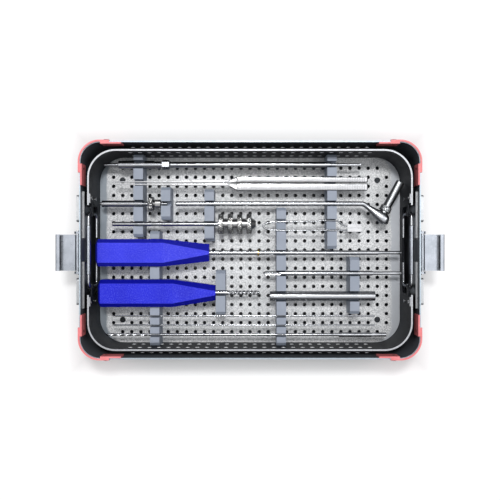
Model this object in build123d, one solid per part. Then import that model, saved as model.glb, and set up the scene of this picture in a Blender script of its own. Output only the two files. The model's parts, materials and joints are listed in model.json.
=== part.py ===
from build123d import *
from collections import namedtuple
import math
import os

# Instrument tray: a perforated case, a lift-out tray, and the tools lying in its holder bars.
# Millimetres. +X along the tray's length, +Y across it, +Z up. The origin is under the middle
# of the case, on the face that it stands on.

# Clearances
rest_gap = 0.3            # between a loose piece and what carries it
pin_clearance = 0.06      # radial, a pin or shaft in the hole that it turns or slides in
fixed_clearance = 0.02    # radial, a rivet, screw or tang in its own hole
wire_clearance = 0.1      # radial, handle wire in its eye

# Lift-out tray
tray_inner_length = 297.0
tray_inner_width = 183.0
tray_depth = 45.0         # rim down to the base plate's upper face
tray_wall = 1.5
tray_corner_radius = 26.0
tray_flange_width = 8.0
tray_flange_thickness = 1.2
tray_vent_rows_below_rim = (12.0, 33.5)

# Perforated base plate
plate_thickness = 1.5
plate_edge_gap = 0.2
hole_pitch = 9.0
hole_diameter = 3.6
plate_end_margin = 13.0   # least distance from the outer hole centres to the end walls
plate_side_margin = 10.0
plate_screw_from_wall = 22.5
plate_screw_hole = 5.9
plate_screw_keep_out = 7.2  # no other hole has its middle nearer
plate_screw_head = 5.5
plate_screw_head_height = 1.8
plate_screw_shank = 3.0
plate_screw_length = 6.0
plate_slot_length = 4.4
plate_slot_width = 0.8
plate_slot_depth = 0.7
foot_height = 10.0
foot_diameter = 9.0
foot_bevel = 0.8
foot_hole_room = 1.0

# Case
case_wall = 1.2
case_corner_radius = 19.0
case_bottom_radius = 3.0
case_least_bend = 0.2
case_gap_x = 5.3          # tray's end wall to the case's end wall
case_gap_y = 5.8
tray_rim_below_case_rim = 4.0
case_vent_height = 31.0
case_vent_columns = 25
case_vent_rows = 15
wall_vent_columns = 26
wall_vent_diameter = 3.5

# Corner guards
guard_thickness = 0.9
guard_lip = 1.2
guard_lip_reach = 0.7     # over the bare rim, away from the tongues
guard_bottom = 10.0
guard_arm_x = 27.5        # reach from the end wall's outer face along the long wall
guard_arm_y = 29.0
guard_tongue_thickness = 1.5
guard_tongue_height = 14.0
guard_tongue_length_x = 11.0
guard_tongue_length_y = 11.5
guard_tongue_overlap = 8.0
guard_screw_inset = 4.0
guard_screw_below_rim = 7.0
guard_screw_shank = 3.0
guard_screw_head = 6.4
guard_screw_head_height = 1.4
guard_screw_crown = 0.84
guard_socket = 2.2
guard_socket_depth = 0.8

# Latches, one on each end wall
latch_width = 34.0
latch_reach = 20.0
latch_thickness = 1.5
latch_lip_height = 7.0
latch_curl = 2.5
latch_barrel = 5.0
latch_pin = 2.4
latch_pin_overhang = 0.8
latch_centre_y = -2.5
latch_axis_below_rim = 15.0
latch_axis_from_wall = 5.0
bracket_plate_thickness = 1.5
bracket_height = 16.0
bracket_ear = 2.2
bracket_ear_gap = 0.7
bracket_ear_height = 6.4
bracket_rivet_y = 13.0
bracket_rivet_z = 5.8

# Strips inside the end walls and pads outside them, joined by rivets
strip_thickness = 2.1
strip_inner_y = 11.0
strip_outer_y = 54.0
strip_below_rim = 6.0
strip_height = 22.0
pad_thickness = 4.0
pad_inner_y = 26.0
pad_outer_y = 51.0
pad_height = 22.0
pad_corner_radius = 2.0
rivet_shank = 3.0
rivet_head = 5.0
rivet_head_height = 0.5
strip_rivet_inset = 4.0

# Pull-up wire handles in the tray's end walls
cutout_half_width = 41.5
cutout_corner_radius = 5.0
cutout_above_plate = 9.0
handle_wire = 2.4
handle_leg_y = 34.0
handle_hook_end_y = 12.0
handle_hook_above_plate = 12.0
handle_bend = 4.0
handle_below_rim = 2.0
grip_diameter = 4.0
grip_half_length = 22.6
eye_diameter = 5.2
eye_height = 6.0
eye_below_rim = 7.5
eye_plate_thickness = 1.0
eye_plate_inner_y = 43.5
eye_plate_outer_y = 52.0
eye_plate_height = 24.0
eye_plate_below_rim = 1.0
eye_rivet_y = 48.5
eye_rivet_spread = 17.0
eye_rivet_shank = 2.4
eye_rivet_head = 3.6
eye_rivet_head_height = 0.7

# Holder bars
bar_width = 9.0
bar_height = 25.0
bar_end_chamfer = 3.0
bar_peg_diameter = 3.3
bar_peg_head = 5.2
bar_peg_head_height = 1.7
bar_peg_from_end = 5.0
bar_peg_gap = 0.1
bar_peg_limit = 2.85      # furthest that a bar's middle may lie from its column of holes
bar_wall_gap = 0.3
bar_handle_gap = 1.9
bar_1_column = 3          # columns of holes, counted from the left
bar_2_column = 6
bar_3_column = 11
bar_4_column = 5
bar_5_column = 12
bar_7_from_last = 6       # columns of holes, counted from the right
bar_8_from_last = 4
bar_offsets = (1.5, 0.7, -2.85, -0.8, -1.1, 2.85, -2.85, 0.8)
bar_2_ends = (29.0, 60.0)
bar_3_ends = (8.6, 58.0)
bar_4_end = 18.0
bar_5_past_pin = 1.5
bar_5_end = -19.5
bar_6_end = 40.5
bar_7_start = 1.0
bar_8_ends = (-61.0, -6.7)

# Tools: all lie with their axes at one height
tool_height = 19.0        # above the base plate
end_bevel = 0.5
tube_bevel = 0.3

depth_y = 81.8
depth_left_room = 8.1
depth_right_room = 41.7
depth_knob_length = 13.4
depth_knob = 3.6
depth_knob_gap = 1.0
depth_barrel_length = 34.6
depth_barrel = 7.7
depth_groove_length = 0.9
depth_groove = 6.4
depth_collar_length = 4.8
depth_collar = 6.9
depth_neck_length = 8.5
depth_neck = 5.6
depth_cone_length = 1.2
depth_cone = 7.6
depth_shaft = 5.8
depth_probe = 2.8
depth_probe_exposed = 28.9
depth_knob_bore = 4.0
depth_knob_bore_length = 15.0
depth_hook_length = 1.6
depth_hook_rise = 1.2
nut_across_flats = 8.0
nut_length = 6.7
nut_end_gap = 0.3

forceps_y = 64.25         # middle of the gap between the legs
forceps_left_room = 18.6
forceps_right_room = 35.9
forceps_gap = 1.2
forceps_tine = 2.2
forceps_tine_height = 3.0
forceps_grip_length = 124.0
forceps_taper_length = 9.5
forceps_outer_grip = 5.2
forceps_inner_grip = 6.8
forceps_grip_height = 8.0
forceps_weld_length = 12.0
forceps_ribs = 14
forceps_rib_pitch = 3.0
forceps_rib_width = 1.2
forceps_rib_depth = 0.5
forceps_rib_from_end = 5.0

coupling_y = 44.4
coupling_left_room = 4.7
coupling_nub_length = 1.8
coupling_nub = 3.0
coupling_rod_length = 39.0
coupling_rod = 6.3
coupling_neck = 4.0
coupling_travel_room = 5.6
coupling_disc_length = 5.0
coupling_disc = 13.5
coupling_waist_length = 1.2
coupling_waist = 7.0
coupling_collar_length = 5.6
coupling_collar = 8.0
coupling_bead = 3.8
coupling_bead_length = 2.2
coupling_bead_neck = 2.6
coupling_bead_neck_length = 0.8

guide_from_coupling = 8.5
guide_right_room = 39.4
guide_rod = 4.8
guide_arm_length = 24.0
guide_arm_angle = -37.0
guide_arm_root = 3.4
guide_arm_tip = 5.4
guide_arm_thickness = 5.0
guide_tube_length = 33.5
guide_tube = 8.2
guide_tube_bore = 4.6
guide_tube_angle = 61.1
guide_tube_offset_x = 19.1
guide_tube_offset_y = -8.6
guide_ring_length = 5.0
guide_ring = 11.0
guide_ring_from_end = 1.5

ribbed_y = 25.0
ribbed_left_room = 16.2
ribbed_rod_length = 102.0
ribbed_rod = 4.4
ribbed_rib = 19.5
ribbed_rib_length = 5.0
ribbed_groove = 10.6
ribbed_groove_length = 3.95
ribbed_ribs = 4
ribbed_nose_length = 4.0
ribbed_nose = 12.0
ribbed_nose_tip = 6.0
ribbed_tang = 18.0

clip_y = 23.1
clip_from_ribbed = 6.0
clip_right_room = 41.7
clip_wire = 1.6
clip_half_gap = 4.3
clip_jaw_length = 13.5
clip_jaw_width = 3.3
clip_jaw_height = 4.0
clip_jaw_gap = 0.5
clip_jaw_offset = -2.0
clip_bow = 1.2
clip_bow_start = 40.0
clip_bow_end = 22.0
clip_jaw_bevel = 0.8
clip_lead_in = 2.0
clip_lower_lead_in = 6.0
clip_bend = 1.4

driver_handle = 26.0
driver_handle_chamfer = 3.6
driver_butt_bevel = 2.0
driver_tang = 30.0
driver_1_y = -2.6
driver_1_left_room = 2.7
driver_1_right_room = 3.0
driver_1_handle_length = 106.8
driver_1_taper_length = 43.0
driver_1_small_end = 16.5
driver_1_small_chamfer = 6.8
driver_1_shaft = 4.6
driver_1_tip_length = 21.9
driver_1_tip = 3.4
driver_1_ring_from_handle = 46.2
driver_1_ring_length = 1.5
driver_1_ring = 6.0
driver_2_y = -41.0
driver_2_left_room = 5.0
driver_2_handle_length = 110.5
driver_2_taper_length = 40.0
driver_2_small_end = 14.5
driver_2_small_chamfer = 5.2
driver_2_shaft = 4.8
driver_2_shaft_length = 42.0
driver_2_tip = 4.4
driver_2_tip_length = 30.0
tool_groove_length = 0.8
tool_groove_depth = 0.3

tap_y = -22.3
tap_right_room = 3.0
tap_beyond_bar_6 = 17.35  # from the middle of bar 6 to the tap's cutting end
tap_cutter_length = 17.0
tap_cutter = 4.2
tap_nose_length = 2.0
tap_nose = 1.0
tap_shaft = 4.8
tap_end_length = 27.7
tap_end = 3.4

sleeve_y = -44.2
sleeve_from_driver = 10.0
sleeve_right_room = 28.5
sleeve_diameter = 9.4
sleeve_bore = 7.2

pin_wire = 1.8
pin_wire_left_room = 15.7
pin_wire_right_room = 28.5
pin_wire_point = 4.0
needle_point = 0.3
pin_wire_1_y = -63.3
pin_wire_2_y = -72.2

drill_y = -81.3
drill_left_room = 10.0
drill_right_room = 17.7
drill_point_length = 1.6
drill_diameter = 2.8
drill_holder_length = 31.0
drill_holder = 4.4
drill_end_length = 13.8
drill_end = 3.8

# Heights and half sizes that follow from the values above
plate_bottom = case_wall + rest_gap + foot_height
plate_top = plate_bottom + plate_thickness
tray_rim = plate_top + tray_depth
case_rim = tray_rim + tray_rim_below_case_rim
tool_z = plate_top + tool_height
bar_top = plate_top + bar_height
tray_half_x = tray_inner_length / 2
tray_half_y = tray_inner_width / 2
case_inner_x = tray_half_x + tray_wall + case_gap_x
case_inner_y = tray_half_y + tray_wall + case_gap_y
case_outer_x = case_inner_x + case_wall
case_outer_y = case_inner_y + case_wall
handle_x = tray_half_x + tray_wall / 2
plate_columns = int((tray_inner_length - 2 * plate_end_margin) / hole_pitch) + 1
plate_rows = int((tray_inner_width - 2 * plate_side_margin) / hole_pitch) + 1
plate_screw_y = tray_half_y - plate_screw_from_wall
latch_axis_x = case_outer_x + latch_axis_from_wall
latch_axis_z = case_rim - latch_axis_below_rim

# A tool's length of constant or tapering diameter, and the room that a piece of a tool takes
Span = namedtuple("Span", "x0 x1 y half_width half_height is_round")


def from_left(room):
    return -tray_half_x + room


def from_right(room):
    return tray_half_x - room


def column_x(index):
    return (index - (plate_columns - 1) / 2) * hole_pitch


def row_y(index):
    return (index - (plate_rows - 1) / 2) * hole_pitch


def bar_x(column_index, offset):
    return column_x(column_index) + max(-bar_peg_limit, min(bar_peg_limit, offset))


def bar_6_column():
    return (bar_5_column + plate_columns - 1 - bar_7_from_last) // 2


def bar_6_x():
    return bar_x(bar_6_column(), bar_offsets[5])


def plate_screw_places():
    column = column_x(plate_columns - 2)
    return [(sx * column, sy * plate_screw_y) for sx in (-1, 1) for sy in (-1, 1)]


# Shapes used by many pieces
def block(x0, x1, y0, y1, z0, z1):
    middle = Pos((x0 + x1) / 2, (y0 + y1) / 2, (z0 + z1) / 2)
    return middle * Box(abs(x1 - x0), abs(y1 - y0), abs(z1 - z0))


def rod_x(x0, x1, y, z, radius):
    return Pos((x0 + x1) / 2, y, z) * Rot(0, 90, 0) * Cylinder(radius, abs(x1 - x0))


def rod_y(x, y0, y1, z, radius):
    return Pos(x, (y0 + y1) / 2, z) * Rot(90, 0, 0) * Cylinder(radius, abs(y1 - y0))


def rod_z(x, y, z0, z1, radius):
    return Pos(x, y, (z0 + z1) / 2) * Cylinder(radius, z1 - z0)


def rounded_slab(half_x, half_y, radius, z0, z1):
    return Pos(0, 0, z0) * extrude(RectangleRounded(2 * half_x, 2 * half_y, radius), z1 - z0)


def group(solids):
    return Compound(children=list(solids))


def turned(start, y, sections):
    points = [(0, 0)]
    x = 0
    for length, near, far in sections:
        for point in ((x, near / 2), (x + length, far / 2)):
            if point != points[-1]:
                points.append(point)
        x += length
    points.append((x, 0))
    outline = make_face(Polyline(*points, close=True))
    return Pos(start, y, tool_z) * revolve(outline, Axis.X, 360)


def spans_of(start, y, sections):
    spans = []
    x = start
    for length, near, far in sections:
        radius = max(near, far) / 2
        spans.append(Span(x, x + length, y, radius, radius, True))
        x += length
    return spans


def total(sections):
    return sum(length for length, near, far in sections)


def rivet_x(side, x_inner, x_outer, y, z, shank, head, head_height):
    pin = rod_x(side * x_inner, side * x_outer, y, z, shank / 2)
    cap = rod_x(side * x_outer, side * (x_outer + head_height), y, z, head / 2)
    return pin + cap


# Case
def long_wall_vents(height, diameter, reach):
    cutters = []
    for index in range(wall_vent_columns):
        x = (index - (wall_vent_columns - 1) / 2) * hole_pitch
        cutters.append(rod_y(x, -reach, reach, height, diameter / 2))
    return cutters


def guard_screw_places():
    x = case_outer_x - guard_arm_x + guard_screw_inset
    y = case_outer_y - guard_arm_y + guard_screw_inset
    return x, y, case_rim - guard_screw_below_rim


def strip_rivet_places():
    z = case_rim - strip_below_rim - strip_height / 2
    inner = pad_inner_y + strip_rivet_inset
    outer = pad_outer_y - strip_rivet_inset
    return [(sy * y, z) for sy in (-1, 1) for y in (inner, outer)]


def bracket_rivet_places():
    return [
        (latch_centre_y + sy * bracket_rivet_y, latch_axis_z + sz * bracket_rivet_z)
        for sy in (-1, 1)
        for sz in (-1, 1)
    ]


def case_shell():
    outer = rounded_slab(case_outer_x, case_outer_y, case_corner_radius, 0, case_rim)
    outer = fillet(outer.faces().sort_by(Axis.Z)[0].edges(), case_bottom_radius)
    inner_radius = case_corner_radius - case_wall
    inner = rounded_slab(case_inner_x, case_inner_y, inner_radius, case_wall, case_rim + 1)
    inner_bend = max(case_bottom_radius - case_wall, case_least_bend)
    inner = fillet(inner.faces().sort_by(Axis.Z)[0].edges(), inner_bend)
    shell = outer - inner
    floor_hole = Circle(hole_diameter / 2)
    grid = GridLocations(hole_pitch, hole_pitch, case_vent_columns, case_vent_rows)
    shell -= extrude(Sketch() + [place * floor_hole for place in grid], case_wall * 2)
    cutters = long_wall_vents(case_vent_height, wall_vent_diameter, case_outer_y + 1)
    x, y, z = guard_screw_places()
    screw_hole = guard_screw_shank / 2 + fixed_clearance
    for sign in (-1, 1):
        cutters.append(rod_y(sign * x, -case_outer_y - 1, case_outer_y + 1, z, screw_hole))
        cutters.append(rod_x(-case_outer_x - 1, case_outer_x + 1, sign * y, z, screw_hole))
    for rivet_y, rivet_z in strip_rivet_places() + bracket_rivet_places():
        radius = rivet_shank / 2 + fixed_clearance
        cutters.append(rod_x(-case_outer_x - 1, case_outer_x + 1, rivet_y, rivet_z, radius))
    return shell - cutters


def guard_ring(outside, inside, z0, z1):
    outer = rounded_slab(
        case_outer_x + outside, case_outer_y + outside, case_corner_radius + outside, z0, z1
    )
    inner = rounded_slab(
        case_outer_x - inside, case_outer_y - inside, case_corner_radius - inside, z0 - 1, z1 + 1
    )
    return outer - inner


def corner_guard(sx, sy):
    near_x = case_outer_x - guard_arm_x
    near_y = case_outer_y - guard_arm_y
    far_x = case_outer_x + guard_thickness + 1
    far_y = case_outer_y + guard_thickness + 1
    tall = case_rim + guard_lip + 1
    corner = block(sx * near_x, sx * far_x, sy * near_y, sy * far_y, 0, tall)
    band = guard_ring(guard_thickness, 0, guard_bottom, case_rim) & corner
    lip = guard_ring(guard_thickness, guard_lip_reach, case_rim, case_rim + guard_lip) & corner
    bridge = guard_ring(guard_thickness, case_wall, case_rim, case_rim + guard_lip) & corner
    inside = guard_ring(-case_wall, case_wall + guard_tongue_thickness, case_rim - guard_tongue_height,
                        case_rim + guard_lip)
    along_x = block(
        sx * (near_x - guard_tongue_length_x), sx * (near_x + guard_tongue_overlap),
        0, sy * far_y, 0, tall
    )
    along_y = block(
        0, sx * far_x,
        sy * (near_y - guard_tongue_length_y), sy * (near_y + guard_tongue_overlap), 0, tall
    )
    tongue_x = inside & along_x
    tongue_y = inside & along_y
    guard = band + lip + (bridge & along_x) + (bridge & along_y) + tongue_x + tongue_y
    x, y, z = guard_screw_places()
    hole = guard_screw_shank / 2 + fixed_clearance
    guard -= rod_y(sx * x, sy * (case_inner_y - 5), sy * (case_outer_y + 5), z, hole)
    guard -= rod_x(sx * (case_inner_x - 5), sx * (case_outer_x + 5), sy * y, z, hole)
    return guard


def guard_screw(x, y, direction):
    under_head = Plane(origin=(x, y, guard_screw_places()[2]), z_dir=direction)
    length = guard_thickness + case_wall + guard_tongue_thickness
    shank = Pos(0, 0, -length / 2) * Cylinder(guard_screw_shank / 2, length)
    head = Pos(0, 0, guard_screw_head_height / 2) * Cylinder(guard_screw_head / 2, guard_screw_head_height)
    head = fillet(head.edges().sort_by(Axis.Z)[-1], guard_screw_crown)
    socket = Pos(0, 0, guard_screw_head_height) * Cylinder(guard_socket / 2, guard_socket_depth * 2)
    return under_head * (shank + head - socket)


def guard_screws():
    x, y, z = guard_screw_places()
    screws = []
    for sx in (-1, 1):
        for sy in (-1, 1):
            screws.append(guard_screw(sx * x, sy * (case_outer_y + guard_thickness), (0, sy, 0)))
            screws.append(guard_screw(sx * (case_outer_x + guard_thickness), sy * y, (sx, 0, 0)))
    return group(screws)


def guide_strips():
    top = case_rim - strip_below_rim
    radius = rivet_shank / 2 + fixed_clearance
    strips = []
    for sx in (-1, 1):
        for sy in (-1, 1):
            strip = block(
                sx * (case_inner_x - strip_thickness), sx * case_inner_x,
                sy * strip_inner_y, sy * strip_outer_y, top - strip_height, top
            )
            for y, z in strip_rivet_places():
                strip -= rod_x(sx * (case_inner_x - 5), sx * (case_inner_x + 5), y, z, radius)
            strips.append(strip)
    return group(strips)


def end_wall_pads():
    middle = case_rim - strip_below_rim - strip_height / 2
    radius = rivet_shank / 2 + fixed_clearance
    pads = []
    for sx in (-1, 1):
        for sy in (-1, 1):
            pad = block(
                sx * case_outer_x, sx * (case_outer_x + pad_thickness),
                sy * pad_inner_y, sy * pad_outer_y, middle - pad_height / 2, middle + pad_height / 2
            )
            pad = fillet(pad.edges().filter_by(Axis.X), pad_corner_radius)
            for y, z in strip_rivet_places():
                pad -= rod_x(sx * (case_outer_x - 5), sx * (case_outer_x + 5), y, z, radius)
            pads.append(pad)
    return group(pads)


def strip_rivets():
    rivets = []
    for sx in (-1, 1):
        for y, z in strip_rivet_places():
            inner = case_inner_x - strip_thickness
            outer = case_outer_x + pad_thickness
            rivets.append(rivet_x(sx, inner, outer, y, z, rivet_shank, rivet_head, rivet_head_height))
    return group(rivets)


# Latches
def latch_bracket(side):
    wall = case_outer_x
    half = latch_width / 2 + bracket_ear_gap + bracket_ear
    plate_outer = wall + bracket_plate_thickness
    bracket = block(
        side * wall, side * plate_outer, latch_centre_y - half, latch_centre_y + half,
        latch_axis_z - bracket_height / 2, latch_axis_z + bracket_height / 2
    )
    radius = bracket_ear_height / 2
    for sign in (-1, 1):
        near = latch_centre_y + sign * (half - bracket_ear)
        far = latch_centre_y + sign * half
        bracket += block(
            side * plate_outer, side * latch_axis_x, near, far,
            latch_axis_z - radius, latch_axis_z + radius
        )
        bracket += rod_y(side * latch_axis_x, near, far, latch_axis_z, radius)
    bracket -= rod_y(
        side * latch_axis_x, latch_centre_y - half - 1, latch_centre_y + half + 1,
        latch_axis_z, latch_pin / 2 + fixed_clearance
    )
    for y, z in bracket_rivet_places():
        hole = rivet_shank / 2 + fixed_clearance
        bracket -= rod_x(side * (wall - 1), side * (plate_outer + 1), y, z, hole)
    return bracket


def bracket_rivets():
    rivets = []
    for side in (-1, 1):
        for y, z in bracket_rivet_places():
            outer = case_outer_x + bracket_plate_thickness
            rivets.append(
                rivet_x(side, case_inner_x, outer, y, z, rivet_shank, rivet_head, rivet_head_height)
            )
    return group(rivets)


def latch_pin_piece(side):
    half = latch_width / 2 + bracket_ear_gap + bracket_ear + latch_pin_overhang
    return rod_y(
        side * latch_axis_x, latch_centre_y - half, latch_centre_y + half,
        latch_axis_z, latch_pin / 2
    )


def latch_plate(side):
    barrel = latch_barrel / 2
    low = -barrel
    high = low + latch_thickness
    tip = latch_reach
    lip_top = low + latch_lip_height
    outline = Polyline(
        (0, low), (tip, low), (tip, lip_top), (tip - latch_thickness - latch_curl, lip_top),
        (tip - latch_thickness - latch_curl, lip_top - latch_thickness),
        (tip - latch_thickness, lip_top - latch_thickness), (tip - latch_thickness, high),
        (0, high), close=True
    )
    profile = make_face(outline)
    corners = profile.vertices().filter_by(lambda v: v.X > tip - latch_thickness / 2)
    profile = fillet(corners, latch_thickness)
    profile += Circle(barrel)
    profile -= Circle(latch_pin / 2 + pin_clearance)
    plate = extrude(Plane.XZ * profile, latch_width / 2, both=True)
    if side < 0:
        plate = mirror(plate, Plane.YZ)
    return Pos(side * latch_axis_x, latch_centre_y, latch_axis_z) * plate


# Tray
def tray_body():
    outer_x = tray_half_x + tray_wall
    outer_y = tray_half_y + tray_wall
    low = plate_bottom - tray_flange_thickness
    body = rounded_slab(outer_x, outer_y, tray_corner_radius, low, tray_rim)
    inner_radius = tray_corner_radius - tray_wall
    body -= rounded_slab(tray_half_x, tray_half_y, inner_radius, low - 1, tray_rim + 1)
    gap_low = plate_top + cutout_above_plate
    gap = block(
        -outer_x - 1, outer_x + 1, -cutout_half_width, cutout_half_width, gap_low, tray_rim + 20
    )
    gap = fillet(gap.edges().filter_by(Axis.X).group_by(Axis.Z)[0], cutout_corner_radius)
    body -= gap
    cutters = []
    for drop in tray_vent_rows_below_rim:
        cutters += long_wall_vents(tray_rim - drop, wall_vent_diameter, outer_y + 1)
    for y, z in eye_rivet_places():
        radius = eye_rivet_shank / 2 + fixed_clearance
        cutters.append(rod_x(-outer_x - 1, outer_x + 1, y, z, radius))
    return body - cutters


def tray_flange():
    low = plate_bottom - tray_flange_thickness
    radius = tray_corner_radius - tray_wall
    ring = rounded_slab(tray_half_x, tray_half_y, radius, low, plate_bottom)
    return ring - rounded_slab(
        tray_half_x - tray_flange_width, tray_half_y - tray_flange_width,
        radius - tray_flange_width, low - 1, plate_bottom + 1
    )


def base_plate():
    half_x = tray_half_x - plate_edge_gap
    half_y = tray_half_y - plate_edge_gap
    radius = tray_corner_radius - tray_wall - plate_edge_gap
    sheet = RectangleRounded(2 * half_x, 2 * half_y, radius)
    screws = plate_screw_places()
    holes = []
    for column in range(plate_columns):
        for row in range(plate_rows):
            x = column_x(column)
            y = row_y(row)
            at_corner = column in (0, plate_columns - 1) and row in (0, plate_rows - 1)
            at_screw = any(math.hypot(x - sx, y - sy) < plate_screw_keep_out for sx, sy in screws)
            if not at_corner and not at_screw:
                holes.append(Pos(x, y) * Circle(hole_diameter / 2))
    for x, y in screws:
        holes.append(Pos(x, y) * Circle(plate_screw_hole / 2))
    return Pos(0, 0, plate_bottom) * extrude(sheet - holes, plate_thickness)


def plate_screws():
    screws = []
    thread_bottom = plate_bottom - plate_screw_length
    for x, y in plate_screw_places():
        head_top = plate_bottom + plate_screw_head_height
        screw = rod_z(x, y, plate_bottom, head_top, plate_screw_head / 2)
        half = plate_slot_length / 2
        side = plate_slot_width / 2
        floor = head_top - plate_slot_depth
        screw -= block(x - half, x + half, y - side, y + side, floor, head_top + 1)
        screw += rod_z(x, y, thread_bottom, plate_bottom, plate_screw_shank / 2)
        screws.append(screw)
    return group(screws)


def tray_feet():
    feet = []
    for x, y in plate_screw_places():
        foot = rod_z(x, y, plate_bottom - foot_height, plate_bottom, foot_diameter / 2)
        foot = chamfer(foot.edges().group_by(Axis.Z)[0], foot_bevel)
        hole = plate_screw_shank / 2 + fixed_clearance
        hole_bottom = plate_bottom - plate_screw_length - foot_hole_room
        foot -= rod_z(x, y, hole_bottom, plate_bottom + 1, hole)
        feet.append(foot)
    return group(feet)


# Wire handles
def eye_rivet_places():
    middle = tray_rim - eye_plate_below_rim - eye_plate_height / 2
    return [
        (sy * eye_rivet_y, middle + sz * eye_rivet_spread / 2) for sy in (-1, 1) for sz in (-1, 1)
    ]


def handle_eyes(side):
    inner = tray_half_x - eye_plate_thickness
    plate_top_z = tray_rim - eye_plate_below_rim
    eye_top = tray_rim - eye_below_rim
    eyes = []
    for sy in (-1, 1):
        eye = block(
            side * inner, side * tray_half_x, sy * eye_plate_inner_y, sy * eye_plate_outer_y,
            plate_top_z - eye_plate_height, plate_top_z
        )
        eye += block(
            side * inner, side * tray_half_x, sy * handle_leg_y, sy * eye_plate_inner_y,
            eye_top - eye_height, eye_top
        )
        eye += rod_z(side * handle_x, sy * handle_leg_y, eye_top - eye_height, eye_top, eye_diameter / 2)
        bore = handle_wire / 2 + wire_clearance
        eye -= rod_z(side * handle_x, sy * handle_leg_y, eye_top - eye_height - 1, eye_top + 1, bore)
        for y, z in eye_rivet_places():
            hole = eye_rivet_shank / 2 + fixed_clearance
            eye -= rod_x(side * (inner - 1), side * (tray_half_x + 1), y, z, hole)
        eyes.append(eye)
    return group(eyes)


def eye_rivets():
    rivets = []
    for side in (-1, 1):
        for y, z in eye_rivet_places():
            inner = tray_half_x - eye_plate_thickness
            outer = tray_half_x + tray_wall
            rivet = rod_x(side * inner, side * outer, y, z, eye_rivet_shank / 2)
            head = side * (inner - eye_rivet_head_height)
            rivet += rod_x(head, side * inner, y, z, eye_rivet_head / 2)
            rivets.append(rivet)
    return group(rivets)


def wire_handle(side):
    low = plate_top + handle_hook_above_plate
    high = tray_rim - handle_below_rim
    x = side * handle_x
    path = FilletPolyline(
        (x, -handle_hook_end_y, low), (x, -handle_leg_y, low), (x, -handle_leg_y, high),
        (x, handle_leg_y, high), (x, handle_leg_y, low), (x, handle_hook_end_y, low),
        radius=handle_bend
    )
    section = Plane(origin=path @ 0, z_dir=path % 0) * Circle(handle_wire / 2)
    return sweep(section, path=path)


def handle_grip(side):
    high = tray_rim - handle_below_rim
    x = side * handle_x
    grip = rod_y(x, -grip_half_length, grip_half_length, high, grip_diameter / 2)
    grip = chamfer(grip.edges(), tube_bevel)
    bore = handle_wire / 2 + fixed_clearance
    return grip - rod_y(x, -grip_half_length - 1, grip_half_length + 1, high, bore)


# Depth gauge
def depth_sleeve_sections():
    start = from_left(depth_left_room) + depth_knob_length + depth_knob_gap
    end = from_right(depth_right_room) - depth_probe_exposed
    head = [
        (depth_barrel_length, depth_barrel, depth_barrel),
        (depth_groove_length, depth_groove, depth_groove),
        (depth_collar_length, depth_collar, depth_collar),
        (depth_neck_length, depth_neck, depth_neck),
        (depth_cone_length, depth_cone, depth_shaft),
    ]
    shaft = end - start - total(head) - end_bevel
    tail = [(shaft, depth_shaft, depth_shaft), (end_bevel, depth_shaft, depth_shaft - 2 * end_bevel)]
    return start, head + tail


def depth_gauge_sleeve():
    start, sections = depth_sleeve_sections()
    sleeve = turned(start, depth_y, sections)
    end = start + total(sections)
    knob_bore = depth_knob_bore / 2
    sleeve -= rod_x(start - 1, start + depth_knob_bore_length, depth_y, tool_z, knob_bore)
    return sleeve - rod_x(start, end + 1, depth_y, tool_z, depth_probe / 2 + pin_clearance)


def depth_gauge_probe():
    start = from_left(depth_left_room)
    end = from_right(depth_right_room)
    rod_length = end - start - depth_knob_length - depth_knob_gap
    sections = [
        (end_bevel, depth_knob - 2 * end_bevel, depth_knob),
        (depth_knob_length - end_bevel, depth_knob, depth_knob),
        (depth_knob_gap + rod_length - end_bevel, depth_probe, depth_probe),
        (end_bevel, depth_probe, depth_probe - 2 * end_bevel),
    ]
    probe = turned(start, depth_y, sections)
    hook_top = tool_z + depth_probe / 2 + depth_hook_rise
    middle = end - end_bevel - depth_hook_length / 2
    return probe + rod_z(middle, depth_y, tool_z, hook_top, depth_hook_length / 2)


def depth_gauge_nut():
    start, sections = depth_sleeve_sections()
    near = start + total(sections[:3]) + depth_neck_length - nut_end_gap - nut_length
    radius = nut_across_flats / math.sqrt(3)
    prism = Plane.YZ.offset(near) * Pos(depth_y, tool_z) * RegularPolygon(radius, 6)
    nut = extrude(prism, nut_length)
    return nut - rod_x(near - 1, near + nut_length + 1, depth_y, tool_z, depth_neck / 2 + pin_clearance)


# Thumb forceps, lying on edge
def forceps_leg(sign, grip):
    tip = from_left(forceps_left_room)
    end = from_right(forceps_right_room)
    inner = forceps_gap / 2
    shoulder = end - forceps_grip_length
    outline = Polyline(
        (tip, inner), (end, inner), (end, inner + grip), (shoulder, inner + grip),
        (shoulder - forceps_taper_length, inner + forceps_tine), (tip, inner + forceps_tine),
        close=True
    )
    leg = extrude(make_face(outline), forceps_grip_height / 2, both=True)
    side = Polyline(
        (tip, -forceps_tine_height / 2), (tip, forceps_tine_height / 2),
        (shoulder - forceps_taper_length, forceps_tine_height / 2),
        (shoulder, forceps_grip_height / 2), (end, forceps_grip_height / 2),
        (end, -forceps_grip_height / 2), (shoulder, -forceps_grip_height / 2),
        (shoulder - forceps_taper_length, -forceps_tine_height / 2), close=True
    )
    leg &= extrude(Plane.XZ * make_face(side), forceps_grip_length, both=True)
    for index in range(forceps_ribs):
        x = end - forceps_rib_from_end - index * forceps_rib_pitch
        leg -= block(
            x - forceps_rib_width, x, inner + grip - forceps_rib_depth, inner + grip + 1,
            -forceps_grip_height, forceps_grip_height
        )
    if sign < 0:
        leg = mirror(leg, Plane.XZ)
    return Pos(0, forceps_y, tool_z) * leg


def forceps_outer_leg():
    return forceps_leg(1, forceps_outer_grip)


def forceps_inner_leg():
    end = from_right(forceps_right_room)
    half = forceps_gap / 2
    weld = block(
        end - forceps_weld_length, end, forceps_y - half - 1, forceps_y + half - rest_gap,
        tool_z - forceps_grip_height / 2, tool_z + forceps_grip_height / 2
    )
    return forceps_leg(-1, forceps_inner_grip) + weld


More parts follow.
